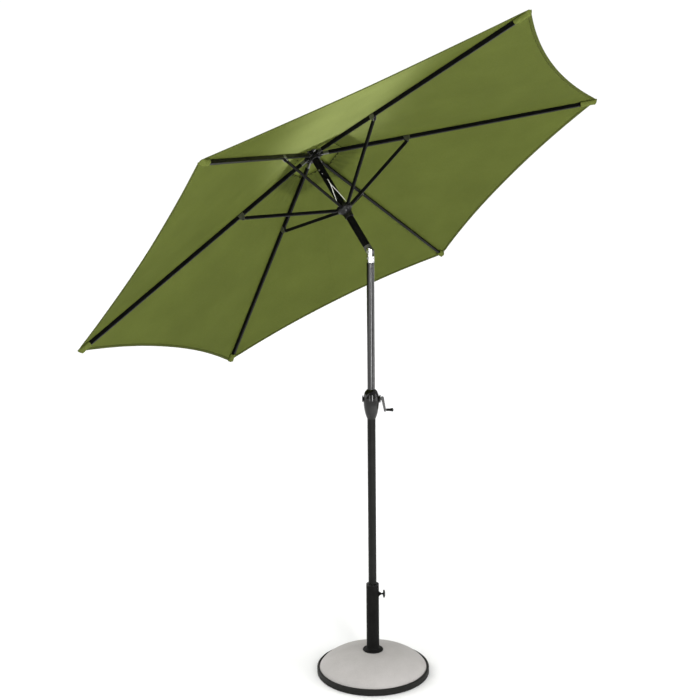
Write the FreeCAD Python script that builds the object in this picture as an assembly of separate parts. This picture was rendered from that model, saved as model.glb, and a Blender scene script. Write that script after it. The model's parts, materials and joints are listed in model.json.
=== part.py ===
"""Tilting patio umbrella standing in a weighted base.

Millimetres, +Z up, origin on the floor under the middle of the base. The canopy half is built
upright on the pole axis and then leaned over about the tilt pin, as the umbrella is used.
"""
import FreeCAD
import Part
import math
import os
from FreeCAD import Vector

# Base
BASE_RADIUS = 267.0
RIM_HEIGHT = 33.0
DOME_EDGE_RADIUS = 255.6
DOME_EDGE_Z = 28.0
FOOT_HEIGHT = 4.0
TUBE_RADIUS = 30.0
TUBE_WALL = 3.0
TUBE_FOOT_Z = 58.0
TUBE_TOP_Z = 434.0
LOCK_Z = 388.0

# Pole
LOWER_POLE_RADIUS = 19.0
LOWER_POLE_TOP_Z = 1262.0
UPPER_POLE_RADIUS = 17.5
POLE_BORE_RADIUS = 16.0
POLE_WALL = 1.4
MID_POLE_FOOT_Z = 1200.0

# Crank
HOUSING_WALL = 2.6
CRANK_Z = 1329.0
CRANK_SHAFT_RADIUS = 5.0
CRANK_DROP = 52.0
SPOOL_RADIUS = 9.0

# Tilt joint
TILT_Z = 2004.5
TILT_ANGLE = 36.9
LEAN_AZIMUTH = 143.5
KNUCKLE_RADIUS = 18.0
KNUCKLE_FOOT_Z = 1957.0
TONGUE_HALF = 7.0
EAR_GAP = 0.5
BUTTON_Z = 1976.0

# Canopy frame
CROWN_Z = TILT_Z + 534.6
CROWN_PIVOT_RADIUS = 40.0
RIB_COUNT = 6
FIRST_RIB_AZIMUTH = 191.5
RIB_LENGTH = 1347.0
RIB_FOOT = 34.0
RIB_SLOPE = 15.45
RIB_WIDTH = 12.0
RIB_HEIGHT = 18.0
BRACKET_AT = 409.0
BRACKET_DROP = 16.2
RUNNER_BELOW_CROWN = 290.6
RUNNER_PIVOT_RADIUS = 32.0
STRETCHER_WIDTH = 10.0
STRETCHER_HEIGHT = 15.0
PULLEY_BELOW_CROWN = 77.0
PULLEY_RADIUS = 8.0
CORD_RADIUS = 1.2
EXIT_BELOW_CROWN = 100.0
KNOT_BELOW_CROWN = 165.0

# Fabric
FABRIC = 1.5
FABRIC_LIFT = 10.4
VENT_LIFT = 24.0
CANOPY_RADIUS = 1350.0
HEM_SETBACK = 61.4
VENT_HOLE_RADIUS = 140.0
VENT_CAP_RADIUS = 250.0
CORNER_HALF_WIDTH = 11.0
SEAM_GAP = 0.6

RUNNING = 0.06
GAP = 0.4
UP = Vector(0, 0, 1)
TILT_POINT = Vector(0, 0, TILT_Z)
LEAN = Vector(math.cos(math.radians(LEAN_AZIMUTH)), math.sin(math.radians(LEAN_AZIMUTH)), 0)
TILT_AXIS = Vector(-LEAN.y, LEAN.x, 0)


def rod(start, end, radius):
    """A solid round bar between two points."""
    start, end = Vector(*start), Vector(*end)
    return Part.makeCylinder(radius, (end - start).Length, start, end - start)


def hollow(outer, inner, bottom, top):
    """A tube about the pole axis."""
    return rod((0, 0, bottom), (0, 0, top), outer).cut(rod((0, 0, bottom), (0, 0, top), inner))


def block(xs, ys, zs):
    """A box from three (low, high) pairs."""
    size = [high - low for low, high in (xs, ys, zs)]
    return Part.makeBox(*size, Vector(xs[0], ys[0], zs[0]))


def outline(start, *steps):
    """A closed face in the XZ plane. A step is a point, or (middle, end) for an arc."""
    def at(point):
        return Vector(point[0], 0, point[1])

    edges, here = [], start
    for step in steps + (start,):
        if isinstance(step[0], tuple):
            edges.append(Part.Arc(at(here), at(step[0]), at(step[1])).toShape())
            here = step[1]
        elif at(step).distanceToPoint(at(here)) > 1e-6:
            edges.append(Part.LineSegment(at(here), at(step)).toShape())
            here = step
    return Part.Face(Part.Wire(edges))


def turned(start, *steps):
    """The outline's (radius, height) points turned about the pole axis."""
    return outline(start, *steps).revolve(Vector(0, 0, 0), UP, 360)


def along_x(shape, z):
    """Lay a part turned about Z along +X, at the height z."""
    return shape.rotated(Vector(0, 0, 0), Vector(0, 1, 0), 90).translated(Vector(0, 0, z))


def hexagon(across_flats, bottom, top):
    """A six-sided bar about the pole axis."""
    radius = across_flats / math.sqrt(3)
    corners = [Vector(radius * math.cos(math.radians(60 * i)), radius * math.sin(math.radians(60 * i)), bottom)
               for i in range(7)]
    return Part.Face(Part.makePolygon(corners)).extrude(Vector(0, 0, top - bottom))


def cord(points, bend):
    """A round cord along straight runs joined by tangent arcs of one radius."""
    points = [Vector(*p) for p in points]
    edges, here = [], points[0]
    for before, corner, after in zip(points, points[1:], points[2:]):
        back = (before - corner).normalize()
        ahead = (after - corner).normalize()
        half = back.getAngle(ahead) / 2
        reach = bend / math.tan(half)
        middle = (back + ahead).normalize()
        first, last = corner + back * reach, corner + ahead * reach
        top = corner + middle * (bend / math.sin(half) - bend)
        edges.append(Part.LineSegment(here, first).toShape())
        edges.append(Part.Arc(first, top, last).toShape())
        here = last
    edges.append(Part.LineSegment(here, points[-1]).toShape())
    section = Part.Wire([Part.makeCircle(CORD_RADIUS, points[0], points[1] - points[0])])
    return Part.Wire(edges).makePipeShell([section], True, False)


def leaned(shape):
    """Move an upright canopy part to where it is with the umbrella tilted."""
    return shape.rotated(TILT_POINT, TILT_AXIS, TILT_ANGLE)


def on_rib(shape, azimuth):
    """Place a part built in the XZ plane of the first rib at an azimuth."""
    return shape.rotated(Vector(0, 0, 0), UP, azimuth)


def around(shape, azimuths):
    """Copies of a part about the pole axis."""
    return [on_rib(shape, azimuth) for azimuth in azimuths]


# ---------------------------------------------------------------- base
def base_weight():
    """Cast dome: nearly flat round the tube and steeper towards the rim."""
    dome = [(DOME_EDGE_RADIUS, DOME_EDGE_Z), (247, 40.5), (228, 57), (195, 76.5), (150, 93.5),
            (100, 104), (50, 108.9)]
    curve = Part.BSplineCurve()
    curve.interpolate([Vector(radius, 0, z) for radius, z in dome])
    socket, seat_z = TUBE_RADIUS + GAP, dome[-1][1]
    bolt_hole, recess, recess_z = 5.6, 17.0, 24.0
    under = [dome[-1], (socket, seat_z), (socket, TUBE_FOOT_Z), (bolt_hole, TUBE_FOOT_Z),
             (bolt_hole, recess_z), (recess, recess_z), (recess, FOOT_HEIGHT), (250, FOOT_HEIGHT),
             (DOME_EDGE_RADIUS, FOOT_HEIGHT + 5.6),
             dome[0]]
    rest = Part.makePolygon([Vector(radius, 0, z) for radius, z in under])
    return Part.Face(Part.Wire([curve.toShape()] + rest.Edges)).revolve(Vector(0, 0, 0), UP, 360)


def base_rim():
    inner = DOME_EDGE_RADIUS + 0.2
    return turned((inner, 2), (BASE_RADIUS - 4, 2), ((BASE_RADIUS - 1, 3.2), (BASE_RADIUS, 6)),
                  (BASE_RADIUS, RIM_HEIGHT - 5),
                  ((BASE_RADIUS - 1.8, RIM_HEIGHT - 1.5), (BASE_RADIUS - 5.5, RIM_HEIGHT)),
                  ((inner + 1.4, RIM_HEIGHT - 1.4), (inner, RIM_HEIGHT - 4.5)))


def base_feet():
    """Six pads, and the plug that covers the bolt's recess."""
    pad = turned((0, 0), (16, 0), ((17.4, 0.6), (18, 2)), (18, FOOT_HEIGHT), (0, FOOT_HEIGHT))
    plug = pad.fuse(rod((0, 0, FOOT_HEIGHT), (0, 0, FOOT_HEIGHT + 4), 16.6))
    return Part.makeCompound(around(pad.translated(Vector(205, 0, 0)), range(0, 360, 60)) + [plug])


def base_tube():
    """The upright tube with its bottom plate, collar and the nut for the lock screw, all welded."""
    bore = TUBE_RADIUS - TUBE_WALL
    collar_z = 109.1
    body = turned((5.5, TUBE_FOOT_Z + 0.1), (TUBE_RADIUS, TUBE_FOOT_Z + 0.1), (TUBE_RADIUS, collar_z),
                  (48, collar_z), ((48.6, 112), (45.5, 115.2)), ((41, 116.6), (36.5, 116.6)),
                  ((31.8, 118.6), (TUBE_RADIUS, 124)), (TUBE_RADIUS, TUBE_TOP_Z), (bore, TUBE_TOP_Z),
                  (bore, TUBE_FOOT_Z + 5), (5.5, TUBE_FOOT_Z + 5))
    nut = along_x(turned((0, 28), (13, 28), (12.4, 31), ((8.2, 34), (6.6, 40.5)), (0, 40.5)), LOCK_Z)
    nut = nut.cut(rod((0, 0, LOCK_Z - 20), (0, 0, LOCK_Z + 20), bore + 0.5))
    return body.fuse(nut).cut(rod((0, 0, LOCK_Z), (60, 0, LOCK_Z), 4.2))


def base_anchor_bolt():
    bolt = hexagon(16, 13.4, 20.4).fuse(rod((0, 0, 20.4), (0, 0, 76), 5.0))
    washer = hollow(15, 5.2, 20.5, 23.9)
    nut = hexagon(16, 63.2, 71.2).cut(rod((0, 0, 60), (0, 0, 80), 5.1))
    return Part.makeCompound([bolt, washer, nut])


def tube_bush():
    """The plastic ring that guides the pole in the mouth of the tube."""
    inner = LOWER_POLE_RADIUS + 0.1
    lip = TUBE_TOP_Z + 0.1
    return turned((inner, 402), (26.8, 402), (26.8, lip), (29.4, lip), ((30.4, lip + 1.4), (29.8, lip + 3.6)),
                  ((28.3, lip + 5.3), (26, lip + 5.9)), (inner, lip + 5.9))


# ---------------------------------------------------------------- lock screw
def lock_pad():
    return rod((19.2, 0, LOCK_Z), (22.3, 0, LOCK_Z), 5.0)


def lock_knob():
    """Screw with a moulded grip, seen edge-on as a thick lens."""
    knob = turned((0, 22.7), (3.9, 22.7), (3.9, 47.4), (7.5, 48.4), (15.5, 49.6),
                  ((18.6, 53.6), (15.8, 57.8)), ((9, 59.6), (2, 60.2)), (0, 60.2))
    notch = rod((22.6, 0, 45), (22.6, 0, 62), 5.4)
    return along_x(knob.cut(Part.makeCompound(around(notch, range(0, 360, 45)))), LOCK_Z)


# ---------------------------------------------------------------- pole and crank
def lower_pole():
    foot_z = TUBE_FOOT_Z + 5.2
    return hollow(LOWER_POLE_RADIUS, LOWER_POLE_RADIUS - POLE_WALL, foot_z, LOWER_POLE_TOP_Z)


def mid_pole():
    pole = hollow(UPPER_POLE_RADIUS, POLE_BORE_RADIUS, MID_POLE_FOOT_Z, KNUCKLE_FOOT_Z)
    left = rod((-30, 0, CRANK_Z), (0, 0, CRANK_Z), 8.8)
    right = rod((0, 0, CRANK_Z), (30, 0, CRANK_Z), 12.8)
    return pole.cut(left).cut(right)


def housing_solid(inset):
    """The egg-shaped outside of the crank housing, drawn in by an inset."""
    sides = ((19.5, 1236), (22.4, 1243), (26.9, 1256), (31.3, 1274), (34.9, 1297), (36.6, 1322),
             (35.6, 1340), (31.2, 1357), (25.4, 1367.5), (18.4, 1374))
    curve = Part.BSplineCurve()
    curve.interpolate([Vector(radius - inset, 0, z) for radius, z in sides])
    low, high = sides[0][1], sides[-1][1]
    rest = Part.makePolygon([curve.EndPoint, Vector(0, 0, high), Vector(0, 0, low), curve.StartPoint])
    face = Part.Face(Part.Wire([curve.toShape()] + rest.Edges))
    seam_at_back = face.rotated(Vector(0, 0, 0), UP, 90)
    return seam_at_back.revolve(Vector(0, 0, 0), UP, 360)


def screw_places():
    return [(x, z) for x in (-24.5, 24.5) for z in (1297, 1353)]


def housing_shells():
    """Front and back covers, split on the plane of the crank shaft."""
    outside = housing_solid(0)
    posts = [rod((x, -40, z), (x, 40, z), 4.2) for x, z in screw_places()]
    posts = Part.makeCompound(posts).common(outside)
    shell = outside.cut(housing_solid(HOUSING_WALL)).fuse(posts)
    low_fit, high_fit = LOWER_POLE_RADIUS + 0.1, UPPER_POLE_RADIUS + 0.1
    shell = shell.cut(turned((0, 1200), (low_fit, 1200), (low_fit, 1290), (high_fit, 1290),
                             (high_fit, 1400), (0, 1400)))
    shell = shell.cut(rod((-60, 0, CRANK_Z), (0, 0, CRANK_Z), 8.7))
    shell = shell.cut(rod((0, 0, CRANK_Z), (60, 0, CRANK_Z), 12.8))
    for x, z in screw_places():
        shell = shell.cut(rod((x, -14, z), (x, 16, z), 1.9)).cut(rod((x, 15, z), (x, 40, z), 3.7))
    panel = outline((0, 1364), ((13.5, 1352), (15.5, 1330)), ((12, 1285), (0, 1247)),
                    ((-12, 1285), (-15.5, 1330)), ((-13.5, 1352), (0, 1364)))
    panel = panel.extrude(Vector(0, 60, 0)).translated(Vector(0, -60, 0))
    panel = housing_solid(-1.3).cut(housing_solid(0.5)).common(panel)
    split = 0.15
    front = shell.common(block((-60, 60), (-60, -split), (1230, 1380))).fuse(panel)
    back = shell.common(block((-60, 60), (split, 60), (1230, 1380)))
    return front, back


def housing_screws():
    screws = [rod((x, -13.5, z), (x, 15, z), 1.8).fuse(rod((x, 15.02, z), (x, 17.5, z), 3.4)).fuse(
               rod((x, 14, z), (x, 15.1, z), 1.8))
              for x, z in screw_places()]
    return Part.makeCompound(screws)


def crank_bearings():
    """Flanged bushes in the sides of the pole, one blind and one open."""
    blind = turned((0, -42), (11.5, -42), ((14.2, -41.3), (15.4, -39.4)), (15.4, -37),
                   (8.5, -37), (8.5, -13), (5.05, -13), (5.05, -38), (0, -38))
    open_side = turned((5.05, 12.6), (12.6, 12.6), (12.6, 37), (18, 37), (18, 40.8),
                       ((17.2, 42.6), (15.2, 43.2)), (5.05, 43.2))
    return Part.makeCompound([along_x(blind, CRANK_Z), along_x(open_side, CRANK_Z)])


def crank_spool():
    drum = turned((0, -36.5), (CRANK_SHAFT_RADIUS, -36.5), (CRANK_SHAFT_RADIUS, -8.2), (12, -8.2),
                  (12, -6.8), (SPOOL_RADIUS, -6.8), (SPOOL_RADIUS, 6.8), (12, 6.8), (12, 8.2),
                  (CRANK_SHAFT_RADIUS, 8.2), (CRANK_SHAFT_RADIUS, 56), (0, 56))
    return along_x(drum, CRANK_Z)


def crank_arm():
    """Bent arm with the pin that carries the grip."""
    grip_z = CRANK_Z - CRANK_DROP
    side = outline((44.4, CRANK_Z + 9), (54, CRANK_Z + 10), ((57.8, CRANK_Z + 7), (58.6, CRANK_Z + 2)),
                   (66.4, grip_z + 8), ((67.4, grip_z), (65.5, grip_z - 8)), (58.5, grip_z - 7),
                   (47, CRANK_Z - 6), (44.4, CRANK_Z - 8))
    arm = side.extrude(Vector(0, 13, 0)).translated(Vector(0, -6.5, 0))
    pin = rod((60, 0, grip_z), (100.8, 0, grip_z), 2.5).fuse(rod((100.8, 0, grip_z), (102, 0, grip_z), 4))
    return arm.fuse(pin).cut(rod((40, 0, CRANK_Z), (60, 0, CRANK_Z), CRANK_SHAFT_RADIUS))


def crank_grip():
    bore = 2.5 + RUNNING
    grip = turned((bore, 68.2), (5.2, 68.2), ((6.2, 69), (6.3, 71)), (6.0, 82), (7.0, 93),
                  ((8.6, 97), (7.8, 99.6)), (6.4, 100.4), (bore, 100.4))
    return along_x(grip, CRANK_Z - CRANK_DROP)


# ---------------------------------------------------------------- tilt joint
def across_tilt(low, high, reach, bottom, top):
    """A slab across the tilt pin, between two distances along the pin."""
    slab = block((-reach, reach), (low, high), (bottom, top))
    return slab.rotated(Vector(0, 0, 0), UP, LEAN_AZIMUTH)


def tilt_bar(half_length, radius, z=TILT_Z):
    """A round bar along the tilt pin's axis."""
    reach = TILT_AXIS * half_length
    return rod((-reach.x, -reach.y, z), (reach.x, reach.y, z), radius)


def cord_bore(bottom, top):
    side = LEAN * -9.0
    return rod((side.x, side.y, bottom), (side.x, side.y, top), 3.2)


def knuckle_lower():
    """Plated fork on top of the pole, with the seat of the tilt button."""
    plug = rod((0, 0, KNUCKLE_FOOT_Z - 34), (0, 0, KNUCKLE_FOOT_Z + 0.1), POLE_BORE_RADIUS - 0.1)
    sleeve = rod((0, 0, KNUCKLE_FOOT_Z + 0.1), (0, 0, TILT_Z + 20), KNUCKLE_RADIUS)
    rounding = rod((0, 0, KNUCKLE_FOOT_Z), (0, 0, TILT_Z), 40).fuse(tilt_bar(40, KNUCKLE_RADIUS))
    body = sleeve.common(rounding).fuse(plug)
    slot = TONGUE_HALF + EAR_GAP
    body = body.cut(across_tilt(-slot, slot, 40, TILT_Z - 19.8, TILT_Z + 40))
    body = body.cut(tilt_bar(40, 4.0)).cut(cord_bore(KNUCKLE_FOOT_Z - 60, TILT_Z))
    seat, mouth = TILT_AXIS * 2.5, TILT_AXIS * 40
    return body.cut(rod((seat.x, seat.y, BUTTON_Z), (mouth.x, mouth.y, BUTTON_Z), 5.0))


def tilt_pin():
    pin = tilt_bar(20.4, 4.0)
    for side in (1, -1):
        near, far = TILT_AXIS * (side * 18.1), TILT_AXIS * (side * 20.4)
        pin = pin.fuse(rod((near.x, near.y, TILT_Z), (far.x, far.y, TILT_Z), 6.6))
    return pin


def tilt_button():
    near, far = TILT_AXIS * 5.6, TILT_AXIS * 20.8
    return rod((near.x, near.y, BUTTON_Z), (far.x, far.y, BUTTON_Z), 4.6)


def knuckle_upper():
    """Tongue in the fork, with the collar and plug that hold the upper pole."""
    tongue = across_tilt(-TONGUE_HALF, TONGUE_HALF, 17, TILT_Z - 17, TILT_Z + 24)
    rounding = tilt_bar(30, 17).fuse(block((-30, 30), (-30, 30), (TILT_Z, TILT_Z + 30)))
    tongue = tongue.common(rounding)
    collar = rod((0, 0, TILT_Z + 19.8), (0, 0, TILT_Z + 32), UPPER_POLE_RADIUS)
    plug = rod((0, 0, TILT_Z + 32), (0, 0, TILT_Z + 70), POLE_BORE_RADIUS - 0.1)
    body = tongue.fuse(collar).fuse(plug)
    return body.cut(tilt_bar(30, 4.0 + RUNNING)).cut(cord_bore(TILT_Z - 40, TILT_Z + 80))


# ---------------------------------------------------------------- upper pole and crown
def polar(radius, azimuth, z):
    angle = math.radians(azimuth)
    return (radius * math.cos(angle), radius * math.sin(angle), z)


PIN_AZIMUTH = math.degrees(math.atan2(TILT_AXIS.y, TILT_AXIS.x))
FRONT_AZIMUTH = -88.0
STRAND_AZIMUTHS = (-138.5, -18.5)


def upper_pole():
    pole = hollow(UPPER_POLE_RADIUS, POLE_BORE_RADIUS, TILT_Z + 32.1, CROWN_Z + 7.5)
    pole = pole.cut(tilt_bar(30, 2.5, CROWN_Z - PULLEY_BELOW_CROWN))
    for azimuth, drop in ((PIN_AZIMUTH + 14, EXIT_BELOW_CROWN - 4), (FRONT_AZIMUTH, EXIT_BELOW_CROWN + 34)):
        slot = [rod((0, 0, CROWN_Z - drop - step), polar(30, azimuth, CROWN_Z - drop - step), 3.0)
                for step in (0, 12)]
        web = block((0, 30), (-3, 3), (CROWN_Z - drop - 12, CROWN_Z - drop)).rotated(Vector(0, 0, 0), UP, azimuth)
        pole = pole.cut(slot[0].fuse(slot[1]).fuse(web))
    return pole


def pulley_pin():
    z = CROWN_Z - PULLEY_BELOW_CROWN
    pin = tilt_bar(19.6, 2.5, z)
    for side in (1, -1):
        near, far = TILT_AXIS * (side * 17.6), TILT_AXIS * (side * 19.6)
        pin = pin.fuse(rod((near.x, near.y, z), (far.x, far.y, z), 4.6))
    return pin


def pulley():
    """Grooved wheel on the pulley pin."""
    wheel = turned((2.5 + RUNNING, -4), (PULLEY_RADIUS + 2.6, -4), (PULLEY_RADIUS, -1.6),
                   (PULLEY_RADIUS, 1.6), (PULLEY_RADIUS + 2.6, 4), (2.5 + RUNNING, 4))
    wheel = wheel.rotated(Vector(0, 0, 0), Vector(0, 1, 0), 90).rotated(Vector(0, 0, 0), UP, PIN_AZIMUTH)
    return wheel.translated(Vector(0, 0, CROWN_Z - PULLEY_BELOW_CROWN))


def crown_hub():
    """Hub with a forked lug and a pin for each rib."""
    hub = turned((UPPER_POLE_RADIUS + 0.1, CROWN_Z - 18), (24, CROWN_Z - 18), ((26.4, CROWN_Z - 16.6),
                 (27, CROWN_Z - 14)), (27, CROWN_Z + 12), (0, CROWN_Z + 12), (0, CROWN_Z + 7.6),
                 (UPPER_POLE_RADIUS + 0.1, CROWN_Z + 7.6))
    pivot = CROWN_PIVOT_RADIUS
    cheek = outline((22, CROWN_Z - 9), (pivot, CROWN_Z - 9), ((pivot + 9, CROWN_Z), (pivot, CROWN_Z + 9)),
                    (22, CROWN_Z + 9)).extrude(Vector(0, 4, 0))
    lugs = cheek.translated(Vector(0, 6.4, 0)).fuse(cheek.translated(Vector(0, -10.4, 0)))
    pin = rod((pivot, -12, CROWN_Z), (pivot, 12, CROWN_Z), 2.0)
    azimuths = rib_azimuths()
    for lug in around(lugs, azimuths):
        hub = hub.fuse(lug)
    for hole in around(pin, azimuths):
        hub = hub.fuse(hole)
    return hub


def crown_cap():
    """Stem, clamping disc and turned finial over the vent."""
    z = CROWN_Z + 12.1
    return turned((0, z), (11, z), (11, z + 24), (33, z + 24), ((34.6, z + 25.4), (33.4, z + 27.2)),
                  ((20, z + 31), (9, z + 33)), ((7.4, z + 37), (10, z + 41)), ((14, z + 52), (2, z + 62)), (0, z + 62))


def lift_cord_lower():
    """The lifting cord inside the pole, from the spool up to the tilt joint."""
    top = LEAN * -9.0
    return rod((5.0, -10.3, CRANK_Z), (top.x, top.y, TILT_Z - 20), CORD_RADIUS)


def lift_cord_upper():
    """The same cord above the joint: up the pole, over the pulley and out of the pole."""
    z = CROWN_Z - PULLEY_BELOW_CROWN
    side = PULLEY_RADIUS + CORD_RADIUS + 0.05
    up, down = LEAN * -side, LEAN * side
    run = rod((up.x, up.y, TILT_Z + 20), (up.x, up.y, z), CORD_RADIUS)
    wheel = Part.Arc(Vector(up.x, up.y, z), Vector(0, 0, z + side), Vector(down.x, down.y, z)).toShape()
    section = Part.Wire([Part.makeCircle(CORD_RADIUS, Vector(up.x, up.y, z), UP)])
    turn = Part.Wire([wheel]).makePipeShell([section], True, False)
    exit_point = polar(POLE_BORE_RADIUS - 1.5, PIN_AZIMUTH + 14, CROWN_Z - EXIT_BELOW_CROWN)
    leave = cord([(down.x, down.y, z), (down.x, down.y, z - 12), exit_point], 5)
    return run.fuse(turn).fuse(leave)


# ---------------------------------------------------------------- runner
def runner_hub():
    """Sliding bell with a slot and a pin for each stretcher."""
    z = CROWN_Z - RUNNER_BELOW_CROWN
    bore = UPPER_POLE_RADIUS + 0.35
    bell = turned((bore, z - 54), (19.6, z - 54), ((20.4, z - 53.4), (20.8, z - 52)), (21.6, z - 38),
                  ((26.5, z - 22), (35.5, z - 12)), ((38.2, z - 4), (38, z + 5)),
                  ((37, z + 8), (34, z + 9)), (27, z + 10), ((25.4, z + 10.8), (25, z + 13)), (bore, z + 13))
    slot = block((25.2, 60), (-5.8, 5.8), (z - 9.5, z + 30))
    pin = rod((RUNNER_PIVOT_RADIUS, -9, z), (RUNNER_PIVOT_RADIUS, 9, z), 2.0)
    azimuths = rib_azimuths()
    for cut in around(slot, azimuths):
        bell = bell.cut(cut)
    for bar in around(pin, azimuths):
        bell = bell.fuse(bar)
    return bell


def runner_cord():
    """Two strands from the pole to a knot, and from there to both sides of the runner."""
    knot_radius, rim_radius = 22.6, 27.0
    knot = polar(knot_radius, FRONT_AZIMUTH, CROWN_Z - KNOT_BELOW_CROWN)
    rim_z = CROWN_Z - RUNNER_BELOW_CROWN + 10.6
    shape = Part.makeSphere(3.0, Vector(*knot))
    ends = [polar(UPPER_POLE_RADIUS + 2.2, PIN_AZIMUTH + 14, CROWN_Z - EXIT_BELOW_CROWN - 4),
            polar(UPPER_POLE_RADIUS + 2.2, FRONT_AZIMUTH, CROWN_Z - EXIT_BELOW_CROWN - 38)]
    ends += [polar(rim_radius, azimuth, rim_z) for azimuth in STRAND_AZIMUTHS]
    for end in ends:
        shape = shape.fuse(rod(knot, end, CORD_RADIUS))
    return shape


# ---------------------------------------------------------------- ribs and stretchers
def rib_azimuths():
    return [FIRST_RIB_AZIMUTH - 60 * i for i in range(RIB_COUNT)]


def down_rib(shape):
    """Slope a part built along +X from the crown pivot, and take it to the pivot."""
    sloped = shape.rotated(Vector(0, 0, 0), Vector(0, 1, 0), RIB_SLOPE)
    return sloped.translated(Vector(CROWN_PIVOT_RADIUS, 0, CROWN_Z))


def rounded_bar(low, high, width, height, radius):
    """A bar along X with its long edges rounded."""
    bar = block((low, high), (-width / 2, width / 2), (-height / 2, height / 2))
    long_edges = [e for e in bar.Edges if abs(e.Vertexes[0].X - e.Vertexes[1].X) > 1]
    return bar.makeFillet(radius, long_edges)


def rib():
    wall = 1.2
    outside = rounded_bar(RIB_FOOT, RIB_LENGTH - 12, RIB_WIDTH, RIB_HEIGHT, 2.2)
    inside = rounded_bar(10, RIB_LENGTH, RIB_WIDTH - 2 * wall, RIB_HEIGHT - 2 * wall, 1.0)
    return down_rib(outside.cut(inside))


def rib_fittings():
    """Crown tang, stretcher bracket with its rivet, and end plug, all fixed to a rib."""
    inner_width, inner_height = RIB_WIDTH - 2.6, RIB_HEIGHT - 2.6
    tang = rounded_bar(12, RIB_FOOT + 45, inner_width, inner_height, 0.8)
    eye = rod((0, -inner_width / 2, 0), (0, inner_width / 2, 0), 7.0)
    neck = block((0, 14), (-inner_width / 2, inner_width / 2), (-7, 7))
    tang = tang.fuse(eye).fuse(neck).cut(rod((0, -20, 0), (0, 20, 0), 2.0 + RUNNING))
    cheek = outline((BRACKET_AT - 15, 6), (BRACKET_AT - 15, -6),
                    (BRACKET_AT - 7, -BRACKET_DROP - 2),
                    ((BRACKET_AT, -BRACKET_DROP - 7.4), (BRACKET_AT + 7, -BRACKET_DROP - 2)),
                    (BRACKET_AT + 15, -6), (BRACKET_AT + 15, 6)).extrude(Vector(0, 1.6, 0))
    near = RIB_WIDTH / 2 + 0.1
    rivet = rod((BRACKET_AT, -near - 3, -BRACKET_DROP), (BRACKET_AT, near + 3, -BRACKET_DROP), 2.2)
    bracket = cheek.translated(Vector(0, near, 0)).fuse(cheek.translated(Vector(0, -near - 1.6, 0)))
    bracket = bracket.fuse(rivet)
    for side in (-1, 1):
        inner, outer = side * (near + 1.4), side * (near + 3.0)
        bracket = bracket.fuse(rod((BRACKET_AT, inner, -BRACKET_DROP), (BRACKET_AT, outer, -BRACKET_DROP), 4.4))
    plug = rounded_bar(RIB_LENGTH - 40, RIB_LENGTH - 11, inner_width, inner_height, 0.8)
    nose = rounded_bar(RIB_LENGTH - 11.8, RIB_LENGTH - 4, RIB_WIDTH, RIB_HEIGHT - 4, 2.0)
    return down_rib(Part.makeCompound([tang, bracket, plug.fuse(nose)]))


def rib_point(along, below):
    """Radius and height of a point on a rib, from the crown axis and the crown pivots."""
    slope = math.radians(RIB_SLOPE)
    radius = CROWN_PIVOT_RADIUS + along * math.cos(slope) - below * math.sin(slope)
    return radius, -along * math.sin(slope) - below * math.cos(slope)


def stretcher():
    """Strut from the runner pin to the rib bracket, with a clearance hole at the bracket."""
    far_radius, far_z = rib_point(BRACKET_AT, BRACKET_DROP)
    run, rise = far_radius - RUNNER_PIVOT_RADIUS, far_z + RUNNER_BELOW_CROWN
    length, climb = math.hypot(run, rise), math.degrees(math.atan2(rise, run))
    bar = rounded_bar(8, length - 12, STRETCHER_WIDTH, STRETCHER_HEIGHT, 2.2)
    for at, eye in ((0, 5.6), (length, 5.4)):
        bar = bar.fuse(rod((at, -STRETCHER_WIDTH / 2, 0), (at, STRETCHER_WIDTH / 2, 0), eye))
    bar = bar.fuse(block((0, 12), (-5, 5), (-5, 5))).fuse(block((length - 14, length), (-5, 5), (-5, 5)))
    bar = bar.cut(rod((0, -9, 0), (0, 9, 0), 2.0 + RUNNING)).cut(rod((length, -9, 0), (length, 9, 0), 4.3))
    bar = bar.rotated(Vector(0, 0, 0), Vector(0, 1, 0), -climb)
    return bar.translated(Vector(RUNNER_PIVOT_RADIUS, 0, CROWN_Z - RUNNER_BELOW_CROWN))


# ---------------------------------------------------------------- fabric
def half_gore(lift, points):
    """Half a gore beside the first rib: plan points laid on the roof plane, the last two an arc."""
    fall = math.tan(math.radians(RIB_SLOPE))

    def on_roof(x, y):
        drop = x + y * math.tan(math.radians(30)) - CROWN_PIVOT_RADIUS
        return Vector(x, y, CROWN_Z + lift - fall * drop)

    corners = [on_roof(x, y) for x, y in points]
    edges = [Part.LineSegment(a, b).toShape() for a, b in zip(corners[:-2], corners[1:-2])]
    edges.append(Part.Arc(corners[-3], corners[-2], corners[-1]).toShape())
    edges.append(Part.LineSegment(corners[-1], corners[0]).toShape())
    return Part.Face(Part.Wire(edges)).extrude(Vector(0, 0, FABRIC))


def sector(lift, inner, outer, setback, corner):
    """The fabric that one rib carries, out to the middle of the gore on each side."""
    tangent = math.tan(math.radians(30))
    inner_x = inner * 0.75
    hem_x = (outer * math.cos(math.radians(30)) - setback) * math.cos(math.radians(30))
    quarter = (outer * 0.875 - setback * 0.75 * math.cos(math.radians(30)),
               outer * 0.125 / tangent - setback * 0.75 * 0.5)
    points = [(inner, 0), (inner_x, inner_x * tangent - SEAM_GAP), (hem_x, hem_x * tangent - SEAM_GAP),
              quarter, (outer - corner * tangent, corner), (outer, 0)]
    face_points = [points[5], points[0], points[1], points[2], points[3], points[4]]
    half = half_gore(lift, face_points)
    return half.fuse(half.mirror(Vector(0, 0, 0), Vector(0, 1, 0)))


def canopy_panel():
    return sector(FABRIC_LIFT, VENT_HOLE_RADIUS, CANOPY_RADIUS, HEM_SETBACK, CORNER_HALF_WIDTH)


def vent_panel():
    return sector(VENT_LIFT, 26.0, VENT_CAP_RADIUS, 6.0, 1.0)


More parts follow.
